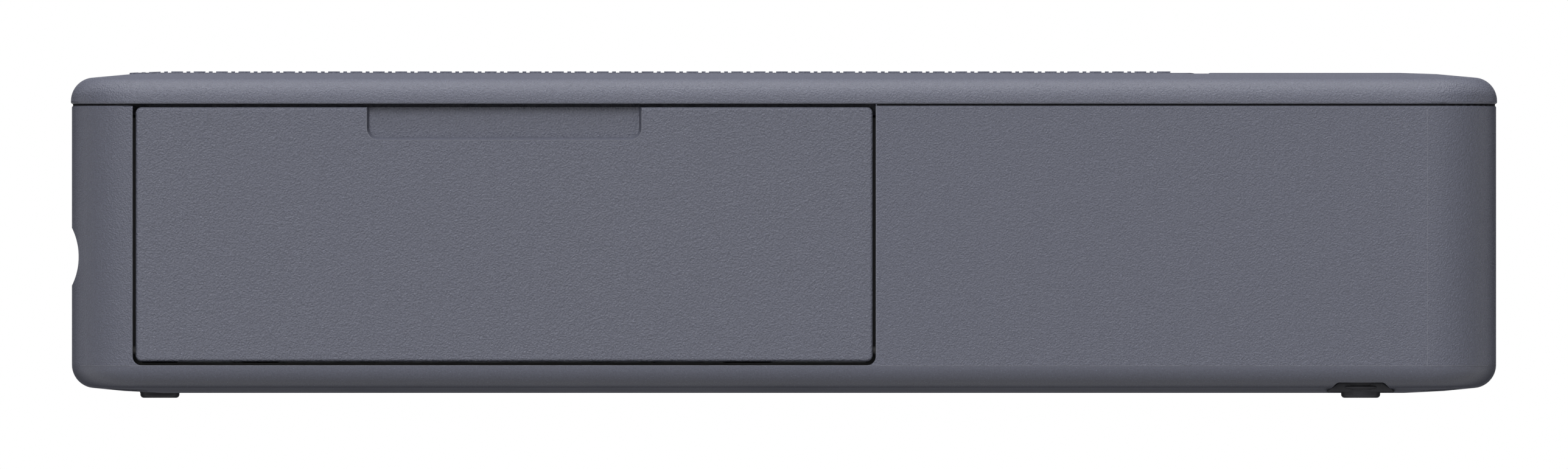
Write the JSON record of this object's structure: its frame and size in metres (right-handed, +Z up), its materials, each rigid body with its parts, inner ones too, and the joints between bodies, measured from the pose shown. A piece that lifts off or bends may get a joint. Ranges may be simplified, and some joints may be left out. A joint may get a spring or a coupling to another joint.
{
  "type": "compact photo printer",
  "caption": "Pocket dye-film photo printer with a ribbed hinged paper lid on top, an ink-cassette door on one long side and a paper exit groove in the front end.",
  "frame": {"origin": "on the table, under the middle of the printer's bounding box", "axes": "+X along the printer's length to its rear end, away from the paper exit; +Y away from the ink-cassette door; +Z up"},
  "size_m": [0.1458, 0.1022, 0.0334],
  "materials": {
    "case_plastic": "fine leathery grain, slate grey",
    "inner_plastic": "smooth moulded black",
    "gear_plastic": "natural acetal",
    "foot_rubber": "soft rubber",
    "roller_rubber": "ground rubber",
    "steel": "turned steel",
    "sheet_steel": "galvanised sheet",
    "aluminium": "extruded",
    "brass": "turned brass",
    "ceramic": "glazed strip",
    "film": "coated dye film",
    "board": "solder mask",
    "chip": "moulded packages",
    "battery_wrap": "shrink wrap",
    "light": "clear rod"
  },
  "bodies": {
    "printer": {"lower_case": "case_plastic", "top_cover": "case_plastic", "front_feet": "foot_rubber", "rear_feet": "foot_rubber", "case_screws": "steel", "lid_hinge_pins": "steel", "door_hinge_pins": "steel", "door_stop": "inner_plastic", "chassis": "sheet_steel", "shaft_bushes": "brass", "gear_studs": "steel", "paper_tray": "inner_plastic", "turn_guide": "inner_plastic", "inner_guide": "inner_plastic", "lower_guide": "inner_plastic", "feed_motor": "steel", "ribbon_motor": "steel", "head_pivot_shaft": "steel", "cassette_frame": "inner_plastic", "ribbon_web": "film", "main_board": "board", "board_components": "chip", "board_screws": "steel", "interface_board": "board", "usb_c_receptacle": "steel", "power_switch": "chip", "light_guides": "light", "battery_pack": "battery_wrap"},
    "lid": {"lid": "case_plastic", "plate_pins": "steel"},
    "pressure_plate": {"pressure_plate": "inner_plastic"},
    "ink_door": {"ink_door": "case_plastic"},
    "capstan": {"capstan_shaft": "steel", "capstan_gear": "gear_plastic"},
    "pinch_roller": {"pinch_shaft": "steel", "pinch_rubber": "roller_rubber"},
    "platen": {"platen_shaft": "steel", "platen_rubber": "roller_rubber"},
    "pick_roller": {"pick_shaft": "steel", "pick_tyres": "roller_rubber", "pick_gear": "gear_plastic"},
    "feed_pinion": {"feed_pinion": "brass"},
    "compound_gear": {"compound_gear": "gear_plastic"},
    "feed_idler": {"feed_idler": "gear_plastic"},
    "pick_idler": {"pick_idler": "gear_plastic"},
    "takeup": {"takeup_hub": "gear_plastic", "takeup_spool": "gear_plastic", "takeup_ribbon": "film"},
    "ribbon_idler": {"ribbon_idler": "gear_plastic"},
    "ribbon_pinion": {"ribbon_pinion": "brass"},
    "supply": {"supply_spool": "gear_plastic", "supply_ribbon": "film"},
    "print_head": {"head_bracket": "aluminium", "heat_sink": "aluminium", "head_substrate": "ceramic"},
    "lift_camshaft": {"lift_camshaft": "gear_plastic"},
    "release_lever": {"release_lever": "gear_plastic"},
    "power_button": {"power_button": "inner_plastic"}
  },
  "joints": [
    {"name": "lid_hinge", "type": "hinge", "parent": "printer", "child": "lid", "pos_m": [0.0415, 0, 0.03175], "axis": [0, 1, 0], "range_deg": [0, 95]},
    {"name": "pressure_plate_hinge", "type": "hinge", "parent": "lid", "child": "pressure_plate", "pos_m": [0.026, 0, 0.0304], "axis": [0, 1, 0], "range_deg": [-2.4, 0], "stiffness_Nm_per_rad": 0.05, "springref_deg": 5.73},
    {"name": "ink_door_hinge", "type": "hinge", "parent": "printer", "child": "ink_door", "pos_m": [-0.0286, -0.0499, 0.00483], "axis": [1, 0, 0], "range_deg": [0, 90]},
    {"name": "capstan_spin", "type": "hinge", "parent": "printer", "child": "capstan", "pos_m": [0.0115, 0, 0.0174], "axis": [0, 1, 0], "continuous": true},
    {"name": "pinch_spin", "type": "hinge", "parent": "printer", "child": "pinch_roller", "pos_m": [0.0115, 0, 0.0108], "axis": [0, 1, 0], "continuous": true},
    {"name": "platen_spin", "type": "hinge", "parent": "printer", "child": "platen", "pos_m": [-0.029, 0, 0.0194], "axis": [0, 1, 0], "continuous": true},
    {"name": "pick_spin", "type": "hinge", "parent": "printer", "child": "pick_roller", "pos_m": [0.022, 0, 0.0212], "axis": [0, 1, 0], "continuous": true},
    {"name": "feed_pinion_spin", "type": "hinge", "parent": "printer", "child": "feed_pinion", "pos_m": [0.05475, 0, 0.0146], "axis": [0, 1, 0], "continuous": true},
    {"name": "compound_spin", "type": "hinge", "parent": "printer", "child": "compound_gear", "pos_m": [0.04072, 0, 0.0146], "axis": [0, 1, 0], "continuous": true},
    {"name": "feed_idler_spin", "type": "hinge", "parent": "printer", "child": "feed_idler", "pos_m": [0.02739, 0, 0.0146], "axis": [0, 1, 0], "continuous": true},
    {"name": "pick_idler_spin", "type": "hinge", "parent": "printer", "child": "pick_idler", "pos_m": [0.02564, 0, 0.01132], "axis": [0, 1, 0], "continuous": true},
    {"name": "takeup_spin", "type": "hinge", "parent": "printer", "child": "takeup", "pos_m": [-0.0037, 0, 0.0083], "axis": [0, 1, 0], "continuous": true},
    {"name": "ribbon_idler_spin", "type": "hinge", "parent": "printer", "child": "ribbon_idler", "pos_m": [-0.01137, 0, 0.01325], "axis": [0, 1, 0], "continuous": true},
    {"name": "ribbon_pinion_spin", "type": "hinge", "parent": "printer", "child": "ribbon_pinion", "pos_m": [-0.008, 0, 0.0202], "axis": [0, 1, 0], "continuous": true},
    {"name": "supply_spin", "type": "hinge", "parent": "printer", "child": "supply", "pos_m": [-0.054, 0, 0.0083], "axis": [0, 1, 0], "continuous": true},
    {"name": "head_lift", "type": "hinge", "parent": "printer", "child": "print_head", "pos_m": [-0.0145, 0, 0.0055], "axis": [0, 1, 0], "range_deg": [0, 7.5]},
    {"name": "lift_cam_spin", "type": "hinge", "parent": "printer", "child": "lift_camshaft", "pos_m": [-0.0205, 0, 0.0078], "axis": [0, 1, 0], "range_deg": [0, 180.5]},
    {"name": "release_lever_slide", "type": "slide", "parent": "printer", "child": "release_lever", "axis": [1, 0, 0], "range_m": [0, 0.0018], "stiffness_N_per_m": 200},
    {"name": "power_button_press", "type": "slide", "parent": "printer", "child": "power_button", "axis": [-1, 0, 0], "range_m": [0, 0.0006], "stiffness_N_per_m": 400}
  ],
  "couplings": [
    {"joint": "pinch_spin", "follows": "capstan_spin", "ratio": -0.90909},
    {"joint": "feed_idler_spin", "follows": "capstan_spin", "ratio": -0.76923},
    {"joint": "compound_spin", "follows": "capstan_spin", "ratio": 1.6667},
    {"joint": "feed_pinion_spin", "follows": "capstan_spin", "ratio": -5},
    {"joint": "pick_idler_spin", "follows": "capstan_spin", "ratio": -3.5714},
    {"joint": "pick_spin", "follows": "capstan_spin", "ratio": 3.125},
    {"joint": "ribbon_idler_spin", "follows": "takeup_spin", "ratio": -1.1667},
    {"joint": "ribbon_pinion_spin", "follows": "takeup_spin", "ratio": 1.4},
    {"joint": "supply_spin", "follows": "takeup_spin", "ratio": 0.66667},
    {"joint": "lift_cam_spin", "follows": "head_lift", "ratio": 24}
  ]
}
